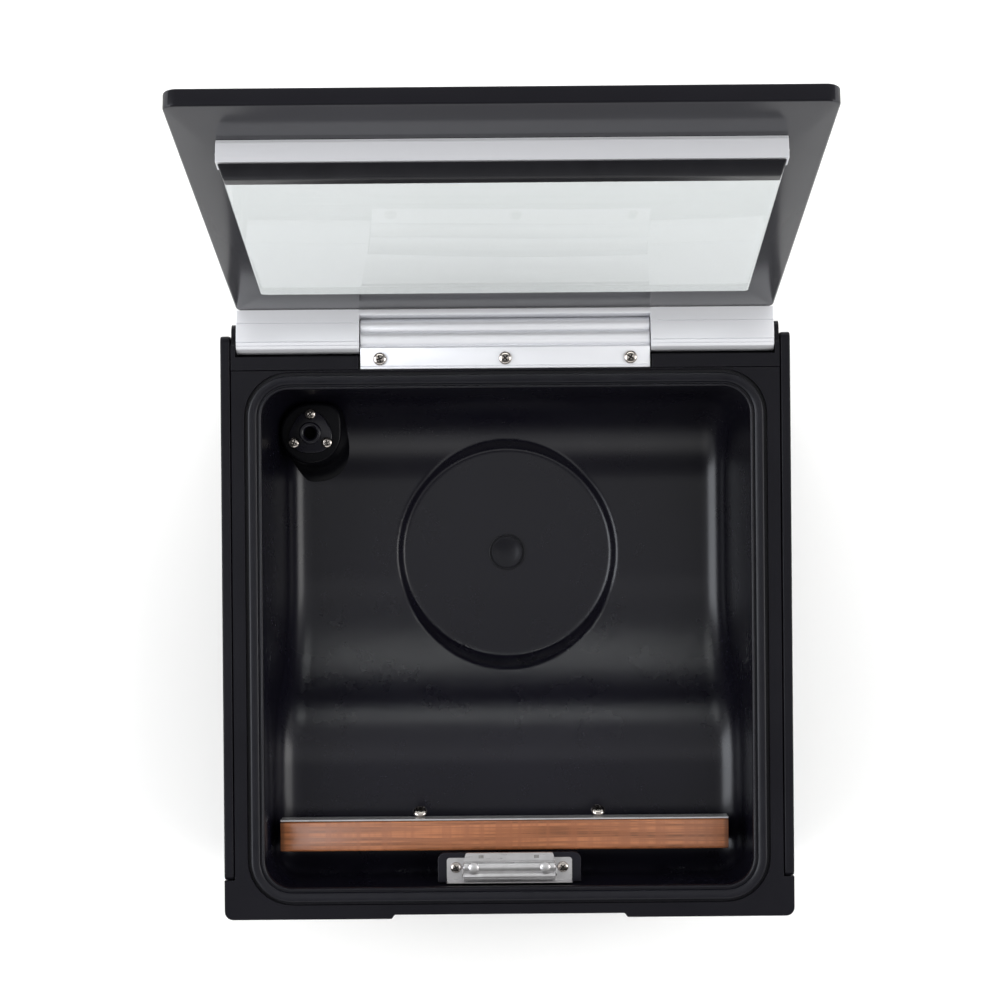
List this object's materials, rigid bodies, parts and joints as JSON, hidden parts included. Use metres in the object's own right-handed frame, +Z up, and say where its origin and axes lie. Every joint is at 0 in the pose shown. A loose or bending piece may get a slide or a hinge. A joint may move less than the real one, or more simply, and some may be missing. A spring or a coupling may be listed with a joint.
{
  "type": "chamber vacuum sealer",
  "caption": "Household chamber vacuum sealer with an open windowed lid, gasketed black chamber, taped heat-seal bar, bag clip and vacuum pump.",
  "frame": {"origin": "on the table under the feet, in the plane of symmetry, midway between the front and the open lid's rearmost edge", "axes": "+Z up, -Y towards the user in front, +X to the right seen from the front"},
  "size_m": [0.36, 0.4709, 0.5757],
  "materials": {
    "satin_black": "satin",
    "chamber_black": "semi-gloss",
    "black_steel": "satin",
    "aluminium": "satin anodised",
    "stainless": "polished",
    "rubber": "matte",
    "silicone": "matte",
    "glass": "clear",
    "sealing_tape": "woven, satin",
    "bar_black": "black anodised",
    "gloss_black": "gloss",
    "button_grey": "satin",
    "circuit_board": "satin",
    "iron": "painted",
    "hose": "satin"
  },
  "bodies": {
    "cabinet": {"base_pan": "black_steel", "chamber_gasket": "rubber", "chamber_tub": "chamber_black", "clip_base": "stainless", "clip_ledge": "chamber_black", "clip_pin": "stainless", "clip_screw_1": "stainless", "clip_screw_2": "stainless", "control_board": "circuit_board", "control_panel": "gloss_black", "display_window": "glass", "fan_frame": "satin_black", "foot_front_left": "rubber", "foot_front_right": "rubber", "foot_rear_left": "rubber", "foot_rear_right": "rubber", "front_fascia": "satin_black", "hinge_bracket": "aluminium", "hinge_pin": "stainless", "hinge_screw_1": "stainless", "hinge_screw_2": "stainless", "hinge_screw_3": "stainless", "lift_cylinder_left": "aluminium", "lift_cylinder_right": "aluminium", "port_fitting": "satin_black", "port_hose": "hose", "port_screw_1": "stainless", "port_screw_2": "stainless", "port_screw_3": "stainless", "power_inlet": "satin_black", "pump_head": "aluminium", "pump_hose": "hose", "pump_motor": "iron", "rear_panel": "black_steel", "rear_rail": "satin_black", "side_panel_left": "satin_black", "side_panel_right": "satin_black", "top_deck": "satin_black", "transformer": "iron", "valve_block": "aluminium", "well_plug": "rubber"},
    "lid": {"lid_frame": "satin_black", "lid_glass": "glass", "lid_hinge_profile": "aluminium", "lid_bar_holder": "aluminium", "lid_silicone_bar": "silicone"},
    "seal_bar": {"seal_bar_core": "bar_black", "heating_strip": "stainless", "sealing_tape": "sealing_tape", "clamp_strip": "stainless", "clamp_screw_1": "stainless", "clamp_screw_2": "stainless"},
    "clip_jaw": {"clip_jaw": "stainless"},
    "power_switch": {"power_switch": "satin_black"},
    "button_power": {"button_power": "button_grey"},
    "button_vacuum": {"button_vacuum": "button_grey"},
    "button_seal": {"button_seal": "button_grey"},
    "button_stop": {"button_stop": "button_grey"},
    "fan_rotor": {"fan_rotor": "satin_black"},
    "pump_fan": {"pump_fan": "satin_black"}
  },
  "joints": [
    {"name": "lid_hinge", "type": "hinge", "parent": "cabinet", "child": "lid", "pos_m": [0, 0.1354, 0.2113], "axis": [1, 0, 0], "range_deg": [0, 102]},
    {"name": "seal_bar_lift", "type": "slide", "parent": "cabinet", "child": "seal_bar", "axis": [0, 0, 1], "range_m": [0, 0.0045]},
    {"name": "clip_jaw_pivot", "type": "hinge", "parent": "cabinet", "child": "clip_jaw", "pos_m": [0, -0.2075, 0.207], "axis": [1, 0, 0], "range_deg": [0, 22], "stiffness_Nm_per_rad": 0.05, "springref_deg": -17.19},
    {"name": "power_switch_rock", "type": "hinge", "parent": "cabinet", "child": "power_switch", "pos_m": [-0.0945, 0.1305, 0.055], "axis": [1, 0, 0], "range_deg": [-10, 0]},
    {"name": "fan_spin", "type": "hinge", "parent": "cabinet", "child": "fan_rotor", "pos_m": [0.118, 0.1235, 0.07], "axis": [0, 1, 0], "continuous": true},
    {"name": "pump_fan_spin", "type": "hinge", "parent": "cabinet", "child": "pump_fan", "pos_m": [0.0865, 0.052, 0.058], "axis": [1, 0, 0], "continuous": true},
    {"name": "button_power_press", "type": "slide", "parent": "cabinet", "child": "button_power", "axis": [0, 1, 0], "range_m": [0, 0.0009], "stiffness_N_per_m": 600, "springref_m": -0.0004},
    {"name": "button_vacuum_press", "type": "slide", "parent": "cabinet", "child": "button_vacuum", "axis": [0, 1, 0], "range_m": [0, 0.0009], "stiffness_N_per_m": 600, "springref_m": -0.0004},
    {"name": "button_seal_press", "type": "slide", "parent": "cabinet", "child": "button_seal", "axis": [0, 1, 0], "range_m": [0, 0.0009], "stiffness_N_per_m": 600, "springref_m": -0.0004},
    {"name": "button_stop_press", "type": "slide", "parent": "cabinet", "child": "button_stop", "axis": [0, 1, 0], "range_m": [0, 0.0009], "stiffness_N_per_m": 600, "springref_m": -0.0004}
  ]
}
